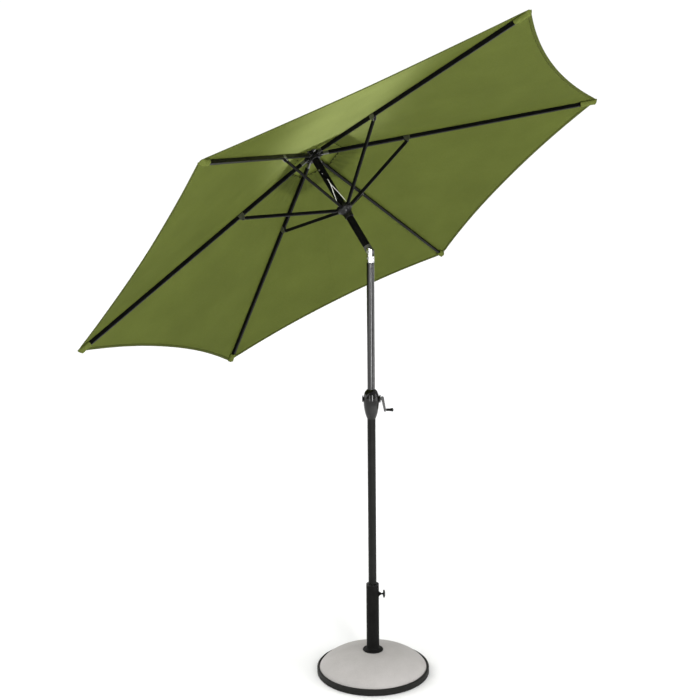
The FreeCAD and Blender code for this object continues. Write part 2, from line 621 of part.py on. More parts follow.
# ---------------------------------------------------------------- files
def build():
    front, back = housing_shells()
    parts = {
        "base_weight": base_weight(), "base_rim": base_rim(), "base_feet": base_feet(),
        "base_tube": base_tube(), "base_anchor_bolt": base_anchor_bolt(), "tube_bush": tube_bush(),
        "lock_pad": lock_pad(), "lock_knob": lock_knob(),
        "lower_pole": lower_pole(), "mid_pole": mid_pole(),
        "housing_front": front, "housing_back": back, "housing_screws": housing_screws(),
        "crank_bearings": crank_bearings(), "crank_spool": crank_spool(), "crank_arm": crank_arm(),
        "crank_grip": crank_grip(), "knuckle_lower": knuckle_lower(), "tilt_pin": tilt_pin(),
        "tilt_button": tilt_button(), "lift_cord_lower": lift_cord_lower(),
    }
    tilted = {
        "knuckle_upper": knuckle_upper(), "upper_pole": upper_pole(), "pulley_pin": pulley_pin(),
        "pulley": pulley(), "crown_hub": crown_hub(), "crown_cap": crown_cap(),
        "lift_cord_upper": lift_cord_upper(), "runner_hub": runner_hub(), "runner_cord": runner_cord(),
    }
    per_rib = {"rib": rib(), "rib_fittings": rib_fittings(), "stretcher": stretcher(),
               "canopy_panel": canopy_panel(), "vent_panel": vent_panel()}
    for letter, azimuth in zip("abcdef", rib_azimuths()):
        for name, shape in per_rib.items():
            tilted[name + "_" + letter] = on_rib(shape, azimuth)
    parts.update({name: leaned(shape) for name, shape in tilted.items()})
    return parts


os.makedirs("parts", exist_ok=True)
for part_name, part_shape in build().items():
    part_shape.exportStep("parts/" + part_name + ".step")
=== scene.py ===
"""Looks for the tilting patio umbrella: fabric, cord, materials, floor, light and camera."""
import bpy
import json
import math
import random
from mathutils import Matrix, Vector


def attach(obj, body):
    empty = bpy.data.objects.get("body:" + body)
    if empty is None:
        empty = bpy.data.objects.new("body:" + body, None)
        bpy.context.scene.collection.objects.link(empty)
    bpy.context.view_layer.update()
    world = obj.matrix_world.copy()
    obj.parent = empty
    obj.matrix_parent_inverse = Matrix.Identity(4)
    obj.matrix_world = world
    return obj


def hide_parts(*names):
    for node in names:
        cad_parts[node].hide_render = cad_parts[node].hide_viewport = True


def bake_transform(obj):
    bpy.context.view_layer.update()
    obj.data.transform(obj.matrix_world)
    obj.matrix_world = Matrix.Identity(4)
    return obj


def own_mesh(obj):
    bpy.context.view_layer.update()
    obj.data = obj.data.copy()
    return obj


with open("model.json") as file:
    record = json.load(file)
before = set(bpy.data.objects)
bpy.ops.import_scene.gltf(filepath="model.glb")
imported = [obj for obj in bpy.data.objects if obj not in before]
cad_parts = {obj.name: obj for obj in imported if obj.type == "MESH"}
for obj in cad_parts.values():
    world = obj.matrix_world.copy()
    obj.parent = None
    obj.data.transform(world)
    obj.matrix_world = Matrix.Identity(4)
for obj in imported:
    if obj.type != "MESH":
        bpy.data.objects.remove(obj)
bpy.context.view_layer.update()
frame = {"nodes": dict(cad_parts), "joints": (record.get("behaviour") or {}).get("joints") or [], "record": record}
NODES = frame["nodes"]
JOINTS = {joint["name"]: joint for joint in frame["joints"]}
RIBS = "abcdef"

# ---- sizes shared with the CAD model, in metres
RIB_SLOPE = math.radians(15.45)
RIB_LENGTH = 1.347
PIVOT_RADIUS = 0.040
CANOPY_RADIUS = 1.350
HEM_SETBACK = 0.0614
VENT_HOLE = 0.140
VENT_CAP = 0.250
RUNNER_BELOW_CROWN = 0.2906

# ---- sizes of the fabric and cord that only show here, in metres
FABRIC_LIFT = 0.0108
VENT_LIFT = 0.0245
VENT_INNER = 0.026
VENT_SETBACK = 0.006
CLOTH = 0.0008
HEM_WIDTH = 0.012
TAPE_WIDTH = 0.006
CORNER_ROUND = 0.010
SAG = 0.002
RIB_ROUNDING = 0.006
SEAM_HALF_WIDTH, SEAM_TOP, SEAM_FOOT, SEAM_PUCKER = 0.0085, 0.0010, 0.0002, 0.00012
SEAM_ROWS = 48
MID_GORE_GAP = 0.0001
POCKET_LENGTH = {"a": 0.062, "b": 0.066, "c": 0.058, "d": 0.088, "e": 0.080, "f": 0.060}
CORD_RADIUS = 0.0014
THREAD_PITCH = 0.0011
KNOT_BELOW_CROWN = 0.165

TAN30 = math.tan(math.radians(30))
COS30 = math.cos(math.radians(30))
# How far out the middle of a straight edge is, as a share of its corners' radius: cos 30 squared.
EDGE_MIDDLE = 0.75

# ---- places read from the frame
AXIS = -Vector(JOINTS["runner_slide"]["axis"])
CROWN = sum((Vector(JOINTS["rib_%s_fold" % r]["pos_m"]) for r in RIBS), Vector()) / len(RIBS)


def rib_frame(letter):
    """Matrix from a rib's own frame (x out along the rib, z up the pole axis) to the row frame."""
    across = Vector(JOINTS["rib_%s_fold" % letter]["axis"])
    out = across.cross(AXIS).normalized()
    return Matrix.Translation(CROWN) @ Matrix((out, across, AXIS)).transposed().to_4x4()


# ---------------------------------------------------------------- materials
class Shader:
    """A small helper for building one node material."""

    def __init__(self, name, colour, roughness, **sockets):
        self.material = bpy.data.materials.new(name)
        self.material.use_nodes = True
        self.tree = self.material.node_tree
        self.surface = self.tree.nodes.get("Principled BSDF")
        if self.surface is None:
            self.tree.nodes.clear()
            self.surface = self.tree.nodes.new("ShaderNodeBsdfPrincipled")
            output = self.tree.nodes.new("ShaderNodeOutputMaterial")
            self.tree.links.new(self.surface.outputs[0], output.inputs["Surface"])
        self.surface.inputs["Base Color"].default_value = (*colour, 1)
        self.surface.inputs["Roughness"].default_value = roughness
        for label, value in sockets.items():
            self.surface.inputs[label.replace("_", " ")].default_value = value

    def node(self, kind, **inputs):
        made = self.tree.nodes.new("ShaderNode" + kind)
        for label, value in inputs.items():
            made.inputs[label.replace("_", " ")].default_value = value
        return made

    def link(self, source, target):
        self.tree.links.new(source, target)

    def place(self, scale=(1, 1, 1), source="Object"):
        """Object coordinates in metres, stretched by scale."""
        coords = self.node("TexCoord")
        mapping = self.node("Mapping", Scale=scale)
        self.link(coords.outputs[source], mapping.inputs["Vector"])
        return mapping.outputs["Vector"]

    def noise(self, size, detail=4.0, place=None, roughness=0.55):
        """Noise with features about size metres across."""
        texture = self.node("TexNoise", Scale=1.0 / size, Detail=detail, Roughness=roughness)
        self.link(place or self.place(), texture.inputs["Vector"])
        return texture.outputs["Fac"]

    def ramp(self, source, stops):
        """A colour ramp through (position, grey or colour) stops."""
        ramp = self.node("ValToRGB")
        self.link(source, ramp.inputs["Fac"])
        elements = ramp.color_ramp.elements
        while len(elements) < len(stops):
            elements.new(0.5)
        for element, (position, colour) in zip(elements, stops):
            if not isinstance(colour, tuple):
                colour = (colour, colour, colour)
            element.position, element.color = position, (*colour, 1)
        return ramp.outputs["Color"]

    def math(self, operation, a, b):
        made = self.node("Math")
        made.operation = operation
        for socket, value in zip(made.inputs, (a, b)):
            if isinstance(value, (int, float)):
                socket.default_value = value
            else:
                self.link(value, socket)
        return made.outputs[0]

    def blend(self, factor, first, second, mode="MIX"):
        """Mix two colours, each a socket or an RGB tuple."""
        made = self.tree.nodes.new("ShaderNodeMix")
        made.data_type, made.blend_type = "RGBA", mode
        sockets = [made.inputs[0], made.inputs[6], made.inputs[7]]
        for socket, value in zip(sockets, (factor, first, second)):
            if isinstance(value, bpy.types.NodeSocket):
                self.link(value, socket)
            else:
                socket.default_value = value if isinstance(value, (int, float)) else (*value, 1)
        return made.outputs[2]

    def colour(self, source):
        self.link(source, self.surface.inputs["Base Color"])

    def rough(self, source):
        self.link(source, self.surface.inputs["Roughness"])

    def bump(self, source, depth):
        """Relief of depth metres. Calls stack: each one goes under the last."""
        made = self.node("Bump", Strength=1.0, Distance=depth)
        self.link(source, made.inputs["Height"])
        normal = self.surface.inputs["Normal"]
        if normal.is_linked:
            self.link(normal.links[0].from_socket, made.inputs["Normal"])
        self.link(made.outputs["Normal"], normal)


def powder_coat(name, colour, roughness, specular, grain=0.0011):
    """Painted metal: fine orange peel, faint dust and paler rubbed patches."""
    m = Shader(name, colour, roughness, Specular_IOR_Level=specular)
    dusty = tuple(1.45 * c + 0.002 for c in colour)
    m.colour(m.ramp(m.noise(0.035, 6.0), [(0.35, colour), (0.75, dusty)]))
    m.rough(m.ramp(m.noise(0.012, 5.0), [(0.3, roughness - 0.05), (0.7, roughness + 0.08)]))
    m.bump(m.noise(grain, 2.0), 0.00005)
    return m.material


def moulded(name, colour, roughness, specular=0.4):
    """Moulded plastic with a fine spark-eroded grain."""
    m = Shader(name, colour, roughness, Specular_IOR_Level=specular)
    worn = tuple(1.5 * c + 0.002 for c in colour)
    m.colour(m.ramp(m.noise(0.02, 5.0), [(0.3, colour), (0.8, worn)]))
    m.rough(m.ramp(m.noise(0.006, 4.0), [(0.3, roughness - 0.04), (0.7, roughness + 0.07)]))
    m.bump(m.noise(0.0006, 2.0), 0.00003)
    return m.material


def bare_metal(name, colour, roughness, brush=(1, 1, 1), depth=0.00003):
    """Plated or brushed metal with fine scratches and stain."""
    m = Shader(name, colour, roughness, Metallic=1.0)
    streak = m.noise(0.0015, 4.0, m.place(brush))
    stain = m.noise(0.01, 4.0)
    m.colour(m.ramp(stain, [(0.3, colour), (0.8, tuple(0.8 * c for c in colour))]))
    m.rough(m.ramp(streak, [(0.3, roughness - 0.05), (0.7, roughness + 0.1)]))
    m.bump(streak, depth)
    return m.material


def concrete():
    """Cast concrete, trowelled smooth: cloudy tone, sand speckle, pinholes with painted shade in them."""
    pale, dark = (0.45, 0.431, 0.42), (0.41, 0.392, 0.38)
    m = Shader("concrete", pale, 0.8, Specular_IOR_Level=0.25)
    cloud = m.ramp(m.noise(0.09, 5.0), [(0.3, dark), (0.7, pale)])
    speck = m.ramp(m.noise(0.0016, 2.0), [(0.42, 0.86), (0.55, 1.0)])
    toned = m.blend(1.0, cloud, speck, "MULTIPLY")
    pores = m.node("TexVoronoi", Scale=160.0, Randomness=1.0)
    m.link(m.place(), pores.inputs["Vector"])
    holes = m.ramp(pores.outputs["Distance"], [(0.07, 0.0), (0.16, 1.0)])
    sparse = m.ramp(m.noise(0.03, 2.0), [(0.52, 1.0), (0.62, 0.0)])
    pits_and_painted_shade = m.blend(sparse, holes, (1.0, 1.0, 1.0))
    # The colour is darkened to 0.72 in the pinholes: painted shade inside the pits.
    m.colour(m.blend(1.0, toned, m.ramp(pits_and_painted_shade, [(0.0, 0.72), (1.0, 1.0)]), "MULTIPLY"))
    m.rough(m.ramp(m.noise(0.02, 4.0), [(0.3, 0.72), (0.7, 0.92)]))
    m.bump(m.noise(0.004, 5.0), 0.0004)
    m.bump(pits_and_painted_shade, 0.0006)
    return m.material


# A wave texture of scale 1 repeats every 0.314 of a unit.
WAVE_SCALE = 0.314
LIGHT_LET_THROUGH = 0.36


def cloth(name, colour, glow=None):
    """Woven canopy fabric. The UV map is in metres along and across the threads. glow is the colour
    of the light that each face lets through; a sheet has two faces, so little gets past both."""
    m = Shader(name, colour, 0.8, Specular_IOR_Level=0.0, Coat_Weight=0.06, Coat_Roughness=0.4)
    uv = m.place(source="UV")
    threads = []
    for direction in "XY":
        wave = m.node("TexWave", Scale=WAVE_SCALE / THREAD_PITCH, Distortion=0.6, Detail=1.0)
        wave.bands_direction = direction
        m.link(uv, wave.inputs["Vector"])
        threads.append(wave.outputs["Fac"])
    weave = m.math("MULTIPLY", threads[0], threads[1])
    slub = m.noise(0.0022, 3.0, m.place((1, 0.12, 1), "UV"))
    shade = m.ramp(m.noise(0.22, 4.0), [(0.3, 0.9), (0.7, 1.0)])
    shade = m.blend(1.0, shade, m.ramp(weave, [(0.0, 0.86), (1.0, 1.0)]), "MULTIPLY")
    shade = m.blend(1.0, shade, m.ramp(slub, [(0.3, 0.9), (0.7, 1.0)]), "MULTIPLY")
    m.colour(m.blend(1.0, shade, colour, "MULTIPLY"))
    m.bump(weave, 0.00012)
    m.bump(m.noise(0.05, 3.0), 0.0016)
    if glow:
        light = m.node("BsdfTranslucent")
        m.link(m.blend(1.0, shade, glow, "MULTIPLY"), light.inputs["Color"])
        mix = m.node("MixShader", Fac=LIGHT_LET_THROUGH)
        m.link(m.surface.outputs[0], mix.inputs[1])
        m.link(light.outputs[0], mix.inputs[2])
        output = [n for n in m.tree.nodes if n.type == "OUTPUT_MATERIAL"][0]
        m.link(mix.outputs[0], output.inputs["Surface"])
    return m.material


def cord_material():
    """White braided nylon."""
    m = Shader("cord_braid", (0.93, 0.93, 0.91), 0.6, Specular_IOR_Level=0.3)
    braid = m.noise(0.0012, 3.0)
    m.colour(m.ramp(braid, [(0.3, (0.8, 0.8, 0.78)), (0.6, (0.95, 0.95, 0.93))]))
    m.bump(braid, 0.0003)
    return m.material


def times(factor, colour):
    return tuple(factor * c for c in colour)


FABRIC_GREEN = (0.097, 0.117, 0.0255)
FABRIC_GLOW = (0.58, 0.64, 0.29)
MATERIALS = {
    "painted_steel": powder_coat("painted_steel", (0.0058, 0.0058, 0.005), 0.42, 0.14),
    "rim": moulded("rim_plastic", (0.007, 0.007, 0.006), 0.6, 0.18),
    "rubber": moulded("foot_rubber", (0.02, 0.02, 0.02), 0.8, 0.2),
    "black_plastic": moulded("black_plastic", (0.0035, 0.0035, 0.0035), 0.24, 0.24),
    "gloss_black": moulded("gloss_black", (0.003, 0.003, 0.0026), 0.1, 0.4),
    "zinc": bare_metal("zinc_plate", (0.6, 0.6, 0.6), 0.35),
    "grey_metal": bare_metal("grey_metal", (0.2, 0.2, 0.2), 0.4),
    "chrome": bare_metal("satin_chrome", (0.8, 0.8, 0.81), 0.13, (1, 1, 30)),
    "concrete": concrete(),
    "cord": cord_material(),
    "canopy_fabric": cloth("canopy_cloth", FABRIC_GREEN, FABRIC_GLOW),
}
GLOSS_POLE = powder_coat("gloss_pole_paint", (0.002, 0.002, 0.002), 0.06, 0.62)
FRAME_PAINT = powder_coat("frame_paint", (0.0018, 0.0018, 0.002), 0.35, 0.08)
MATT_TUBE = powder_coat("matt_tube_paint", (0.004, 0.004, 0.0036), 0.6, 0.08)
ARM_PAINT = powder_coat("crank_arm_paint", (0.03, 0.03, 0.03), 0.22, 0.9)
# The vent cap is the canopy fabric painted 1.3 times as light and let through 1.25 times the light: a lit copy of
# the fabric, painted light.
VENT_CLOTH_PAINTED_LIGHT = cloth("vent_cloth_painted_light", times(1.3, FABRIC_GREEN), times(1.25, FABRIC_GLOW))
SEAM_CLOTH = cloth("seam_cloth", FABRIC_GREEN, times(0.9, FABRIC_GLOW))
# The hems are the canopy fabric painted 0.7 times as dark: painted shade along the folded edges.
HEM_CLOTH_PAINTED_SHADE = cloth("hem_cloth_painted_shade", times(0.7, FABRIC_GREEN))
BINDING = cloth("binding_tape", times(0.35, FABRIC_GREEN))
# The corner pockets are the canopy fabric painted 1.2 times as light: painted light on the sleeves.
POCKET_CLOTH_PAINTED_LIGHT = cloth("pocket_cloth_painted_light", times(1.2, FABRIC_GREEN))


def paint(thing, material):
    thing.data.materials.clear()
    thing.data.materials.append(material)


def paint_cad_nodes():
    for part in frame["record"]["subparts"]:
        paint(NODES[part["node"]], MATERIALS[part["material_slot"]])
    special = {"mid_pole": GLOSS_POLE, "base_tube": MATT_TUBE, "crank_arm": ARM_PAINT,
               "upper_pole": FRAME_PAINT}
    for letter in RIBS:
        special["rib_" + letter] = special["stretcher_" + letter] = FRAME_PAINT
    for node, material in special.items():
        paint(NODES[node], material)


# ---------------------------------------------------------------- mesh helpers
def piece(name, points, faces, body, material, uvs=None, sharp=()):
    """A smooth mesh in the row frame that rides on a body. uvs are one (u, v) in metres per point."""
    mesh = bpy.data.meshes.new(name)
    mesh.from_pydata([tuple(p) for p in points], [], faces)
    mesh.validate()
    if uvs:
        layer = mesh.uv_layers.new(name="threads")
        for loop in mesh.loops:
            layer.data[loop.index].uv = uvs[loop.vertex_index]
    mesh.shade_smooth()
    sharp_pairs = {frozenset(pair) for pair in sharp}
    for edge in mesh.edges:
        edge.use_edge_sharp = frozenset(edge.vertices) in sharp_pairs
    thing = bpy.data.objects.new(name, mesh)
    bpy.context.scene.collection.objects.link(thing)
    mesh.materials.append(material)
    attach(thing, body)
    return thing


def closed_sheet(name, rows, thickness, place, body, material, uvs):
    """A closed sheet from a grid of local points given as rows, its underside a thickness lower."""
    across = len(rows[0])
    top = [place @ p for row in rows for p in row]
    low = [place @ (p - Vector((0, 0, thickness))) for row in rows for p in row]
    count = len(top)
    faces, sharp = [], []
    for i in range(len(rows) - 1):
        for j in range(across - 1):
            a = i * across + j
            b, c, d = a + 1, a + across + 1, a + across
            faces.append((a, d, c, b))
            faces.append((a + count, b + count, c + count, d + count))
    rim = list(range(across))
    rim += [i * across + across - 1 for i in range(1, len(rows))]
    rim += [(len(rows) - 1) * across + j for j in range(across - 2, -1, -1)]
    rim += [i * across for i in range(len(rows) - 2, 0, -1)]
    for a, b in zip(rim, rim[1:] + rim[:1]):
        faces.append((a, b, b + count, a + count))
        sharp += [(a, b), (a + count, b + count)]
    flat = [uv for row in uvs for uv in row]
    return piece(name, top + low, faces, body, material, flat + flat, sharp)


def strip(name, lines, place, body, material, uvs):
    """A closed band from sections along its length, each a loop of local points."""
    around = len(lines[0])
    points = [place @ p for line in lines for p in line]
    faces = []
    for i in range(len(lines) - 1):
        for j in range(around):
            a, b = i * around + j, i * around + (j + 1) % around
            faces.append((a, b, b + around, a + around))
    faces.append(tuple(range(around - 1, -1, -1)))
    faces.append(tuple(range((len(lines) - 1) * around, len(lines) * around)))
    flat = [uv for line in uvs for uv in line]
    return piece(name, points, faces, body, material, flat)


# ---------------------------------------------------------------- canopy
def roof(x, y, lift, sag=0.0):
    """Height above the rib pivots of the fabric over plan point x, y in a rib's frame."""
    side = math.sqrt(y * y + RIB_ROUNDING ** 2) - RIB_ROUNDING
    height = lift + math.tan(RIB_SLOPE) * (PIVOT_RADIUS - x - side * TAN30)
    if sag and x > 0:
        middle = min(1.0, abs(y) / (x * TAN30))
        run = min(1.0, max(0.0, (x - VENT_HOLE) / (EDGE_MIDDLE * CANOPY_RADIUS)))
        height -= sag * math.sin(math.pi / 2 * middle) ** 2 * math.sin(math.pi * run) ** 0.8
    return height


def inner_point(t, radius):
    """Plan point on a straight edge, from the rib (t = 0) to the middle of the gore (t = 1)."""
    drop = 1 - EDGE_MIDDLE
    return Vector((radius * (1 - drop * t), radius * drop / TAN30 * t))


def hem_point(t, radius, setback):
    """Plan point on the hem, which draws in between the ribs and is rounded at the corner."""
    point = inner_point(t, radius) - Vector((COS30, 0.5)) * setback * (1 - (1 - t) ** 2)
    point.x -= CORNER_ROUND * math.exp(-point.y / CORNER_ROUND)
    return point


def creases(x, y, radius):
    """Fine creases that run in from the corner, and slack folds that fan out from the vent."""
    corner_height, corner_reach, corner_waves = 0.0011, 0.16, 34
    fan_depth, fan_reach, fan_folds = 0.0022, 0.22, 3
    flat_by_rib = 0.012
    away = math.hypot(radius - x, y)
    spread = math.atan2(abs(y), max(radius - x, 1e-4))
    corner = corner_height * math.exp(-away / corner_reach) * math.sin(spread * corner_waves)
    turn = math.atan2(abs(y), x) / math.radians(30)
    folds = math.sin(math.pi * turn * fan_folds) ** 2
    fan = fan_depth * math.exp(-(x - VENT_HOLE) / fan_reach) * folds
    return (corner - fan) * min(1.0, abs(y) / flat_by_rib)


def half_gore(side, inner, outer, setback, lift, sag, rows, columns, creased):
    """Local points and UVs of the fabric on one side of a rib, out to the middle of the gore."""
    grid, uvs = [], []
    for i in range(rows + 1):
        line, line_uv = [], []
        for j in range(columns + 1):
            t = j / columns
            plan = inner_point(t, inner).lerp(hem_point(t, outer, setback), i / rows)
            x, y = plan.x, side * (plan.y - MID_GORE_GAP * t)
            z = roof(x, y, lift, sag) + (creases(x, y, outer) if creased else 0)
            line.append(Vector((x, y, z)))
            line_uv.append((x / math.cos(RIB_SLOPE), y))
        grid.append(line[::side])
        uvs.append(line_uv[::side])
    return grid, uvs


def edging(name, letter, side, edge, towards_crown, section, lift, sag, material, steps):
    """A band sewn along an edge of the fabric, on one side of a rib. edge(t) is the plan point, and
    section lists (distance in from the edge, height) round the band."""
    width = max(across for across, depth in section)
    lines, uvs = [], []
    for j in range(steps + 1):
        t = j / steps
        along = edge(min(1.0, t + 0.01)) - edge(max(0.0, t - 0.01))
        inward = Vector((-along.y, along.x)).normalized() * (1 if towards_crown else -1)
        if j == 0:
            inward = Vector((-1 if towards_crown else 1, 0))
        mitre = min(1.0, edge(t).y / (width * 1.2) + 0.25)
        line, line_uv = [], []
        for across, depth in section:
            plan = edge(t) + inward * (across * (mitre if across > 0.003 else 1))
            y = max(0.0, plan.y - MID_GORE_GAP * t) if j else 0.0
            line.append(Vector((plan.x, side * y, roof(plan.x, y, lift, sag) + depth)))
            line_uv.append((side * edge(t).y, across))
        lines.append(line)
        uvs.append(line_uv)
    return strip(name, lines[::side], rib_frame(letter), "rib_" + letter, material, uvs[::side])


def hem_section(width):
    """A folded hem on the underside, with its line of stitching."""
    return [(-0.0008, 0.0002), (-0.0014, -0.0006), (-0.0008, -0.0019), (0.004, -0.0022),
            (width * 0.78, -0.0020), (width * 0.8, -0.0023), (width, -0.0020),
            (width + 0.0008, -0.0012), (width * 0.5, -0.0007)]


def binding_section(width):
    """Tape folded over an edge."""
    return [(-0.001, 0.0006), (-0.0016, -0.0006), (-0.001, -0.0018), (width, -0.0018),
            (width + 0.0004, -0.0006), (width, 0.0006)]


def seam(name, letter, start, end, lift):
    """Felled seam that joins two gores along the top of a rib."""
    fall = math.tan(RIB_SLOPE) * TAN30
    half, top, low = SEAM_HALF_WIDTH, SEAM_TOP, SEAM_FOOT
    section = [(-half, low), (-half, top * 0.7), (-half * 0.35, top), (0.0, top * 0.8),
               (half * 0.35, top), (half, top * 0.7), (half, low), (0.0, low)]
    lines, uvs = [], []
    for i in range(SEAM_ROWS + 1):
        x = start + (end - start) * i / SEAM_ROWS
        height = lift + math.tan(RIB_SLOPE) * (PIVOT_RADIUS - x)
        pucker = SEAM_PUCKER * math.sin(i * 2.4)
        lines.append([Vector((x, y, height - fall * abs(y) + z + pucker)) for y, z in section])
        uvs.append([(x, y) for y, z in section])
    return strip(name, lines, rib_frame(letter), "rib_" + letter, SEAM_CLOTH, uvs)


def pocket(letter):
    """Sleeve of canopy fabric sewn round the end of a rib, drawn flat at the corner of the canopy."""
    length, ring, rows = POCKET_LENGTH[letter], 14, 24
    half_at_rib, half_lost, depth_at_rib, depth_lost, top = 0.0125, 0.0065, 0.0208, 0.0175, 0.0097
    phase = random.Random(ord(letter)).uniform(0, 6.28)
    fall = TAN30 * math.tan(RIB_SLOPE)
    tip = (CANOPY_RADIUS - 0.004 - PIVOT_RADIUS) / math.cos(RIB_SLOPE)
    grid, grid_uv = [], []
    for i in range(rows + 1):
        s = i / rows
        x = tip - length * (1 - s)
        past_rib = min(1.0, max(0.0, (x - RIB_LENGTH + 0.003) / (tip - RIB_LENGTH + 0.003)))
        half_width = half_at_rib - half_lost * past_rib ** 1.5
        depth = depth_at_rib - depth_lost * past_rib ** 1.3
        outer, inner, line_uv = [], [], []
        for j in range(ring + 1):
            angle = math.pi * j / ring
            fold = 1 + 0.09 * math.sin(5 * angle + 9 * s + phase) * math.sin(angle)
            y = -half_width * math.cos(angle) * (1.0 + 0.35 * (1 - math.sin(angle)) ** 2)
            z = top - fall * abs(y) - depth * math.sin(angle) ** 0.55 * fold
            outer.append(Vector((x, y, z)))
            inner.append(Vector((x, y * 0.94, z + 0.0007 * math.sin(angle))))
            line_uv.append((x, angle * 0.02))
        grid.append(outer + inner[::-1])
        grid_uv.append(line_uv + line_uv[::-1])
    slope = Matrix.Translation((PIVOT_RADIUS, 0, 0)) @ Matrix.Rotation(RIB_SLOPE, 4, "Y")
    place = rib_frame(letter) @ slope
    return strip("corner_pocket_" + letter, grid, place, "rib_" + letter, POCKET_CLOTH_PAINTED_LIGHT, grid_uv)


def draw_in(thing):
    """Give the fabric piece its own copy of its mesh. Nothing here takes it in towards its rib as the canopy is
    let down."""
    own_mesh(thing)


def gore_name(letter, side):
    """Names half a gore by the ribs on either side of the gore and the one it is sewn to."""
    first = RIBS.index(letter) - (side > 0)
    return RIBS[first] + RIBS[(first + 1) % len(RIBS)] + "_at_" + letter


def main_half(letter, side):
    """Half a gore of the main canopy, with its hem and the tape round the vent."""
    name, low = gore_name(letter, side), FABRIC_LIFT - CLOTH
    grid, uvs = half_gore(side, VENT_HOLE, CANOPY_RADIUS, HEM_SETBACK, FABRIC_LIFT, SAG, 72, 24, True)
    fabric = closed_sheet("canopy_gore_" + name, grid, CLOTH, rib_frame(letter), "rib_" + letter,
                          MATERIALS["canopy_fabric"], uvs)
    hem = edging("canopy_hem_" + name, letter, side, lambda t: hem_point(t, CANOPY_RADIUS, HEM_SETBACK),
                 True, hem_section(HEM_WIDTH), low, SAG, HEM_CLOTH_PAINTED_SHADE, 40)
    tape = edging("vent_binding_" + name, letter, side, lambda t: inner_point(t, VENT_HOLE),
                  False, binding_section(TAPE_WIDTH), FABRIC_LIFT - 0.0002, 0.0, BINDING, 12)
    for thing in (fabric, hem, tape):
        draw_in(thing)
    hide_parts("canopy_panel_" + letter)


def vent_half(letter, side):
    """Half a gore of the vent cap, with its hem."""
    name = gore_name(letter, side)
    grid, uvs = half_gore(side, VENT_INNER, VENT_CAP, VENT_SETBACK, VENT_LIFT, 0.0, 24, 10, False)
    fabric = closed_sheet("vent_gore_" + name, grid, CLOTH, rib_frame(letter), "rib_" + letter,
                          VENT_CLOTH_PAINTED_LIGHT, uvs)
    hem = edging("vent_hem_" + name, letter, side, lambda t: hem_point(t, VENT_CAP, VENT_SETBACK),
                 True, hem_section(HEM_WIDTH), VENT_LIFT - CLOTH, 0.0, HEM_CLOTH_PAINTED_SHADE, 16)
    for thing in (fabric, hem):
        draw_in(thing)
    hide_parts("vent_panel_" + letter)


def build_canopy():
    """Fabric sewn to each rib, out to the middle of the gore on both sides, and the vent cap."""
    for letter in RIBS:
        main_seam = seam("canopy_seam_" + letter, letter, VENT_HOLE, CANOPY_RADIUS - 0.014, FABRIC_LIFT)
        cap_seam = seam("vent_seam_" + letter, letter, 0.03, VENT_CAP - 0.01, VENT_LIFT)
        for side, extras, cap_extras in ((-1, [main_seam, pocket(letter)], [cap_seam]), (1, [], [])):
            main_half(letter, side)
            vent_half(letter, side)


# ---------------------------------------------------------------- lifting cord
def lifting_cord():
    """Visible strands: two out of the pole to a knot, two on to the sides of the runner."""
    to_row = Matrix.Translation(CROWN) @ Vector((0, 0, 1)).rotation_difference(AXIS).to_matrix().to_4x4()
    lean = math.degrees(math.atan2(AXIS.y, AXIS.x))
    pin_azimuth = lean - 90

    def at(radius, azimuth, below):
        angle = math.radians(azimuth)
        return to_row @ Vector((radius * math.cos(angle), radius * math.sin(angle), -below))

    front = -88.0
    knot = at(0.0212, front, KNOT_BELOW_CROWN)
    rim = RUNNER_BELOW_CROWN - 0.0105
    runs = [
        [at(0.0150, pin_azimuth + 14, 0.096), at(0.0188, pin_azimuth + 14, 0.103),
         at(0.0195, pin_azimuth + 22, 0.125), knot],
        [at(0.0150, front, 0.136), at(0.0190, front, 0.141), knot],
        [knot, at(0.0232, -112, 0.215), at(0.0262, -138.5, rim)],
        [knot, at(0.0232, -56, 0.215), at(0.0262, -18.5, rim)],
    ]
    curve = bpy.data.curves.new("lifting_cord_line", "CURVE")
    curve.dimensions, curve.bevel_depth, curve.bevel_resolution = "3D", CORD_RADIUS, 3
    curve.resolution_u = 24
    for run in runs:
        spline = curve.splines.new("NURBS")
        spline.points.add(len(run) - 1)
        for point, place in zip(spline.points, run):
            point.co = (*place, 1)
        spline.order_u, spline.use_endpoint_u = 3, True
    line = bpy.data.objects.new("lifting_cord_line", curve)
    bpy.context.scene.collection.objects.link(line)
    bpy.context.view_layer.update()
    mesh = bpy.data.meshes.new_from_object(line)
    bpy.data.objects.remove(line)
    thing = bpy.data.objects.new("lifting_cord", mesh)
    bpy.context.scene.collection.objects.link(thing)
    mesh.materials.clear()
    mesh.materials.append(MATERIALS["cord"])
    mesh.shade_smooth()
    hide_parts("runner_cord")
    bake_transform(thing)
    return thing


# ---------------------------------------------------------------- stage
def floor():
    mesh = bpy.data.meshes.new("floor")
    reach = 40.0
    corners = [(-reach, -reach, 0), (reach, -reach, 0), (reach, reach, 0), (-reach, reach, 0)]
    mesh.from_pydata(corners, [], [(0, 1, 2, 3)])
    thing = bpy.data.objects.new("floor", mesh)
    bpy.context.scene.collection.objects.link(thing)
    thing.location.z = -0.0005
    m = Shader("floor_paint", (0.93, 0.93, 0.93), 0.9, Specular_IOR_Level=0.1)
    cool, warm = (0.925, 0.925, 0.93), (0.935, 0.935, 0.935)
    m.colour(m.ramp(m.noise(1.5, 2.0), [(0.3, cool), (0.7, warm)]))
    paint(thing, m.material)


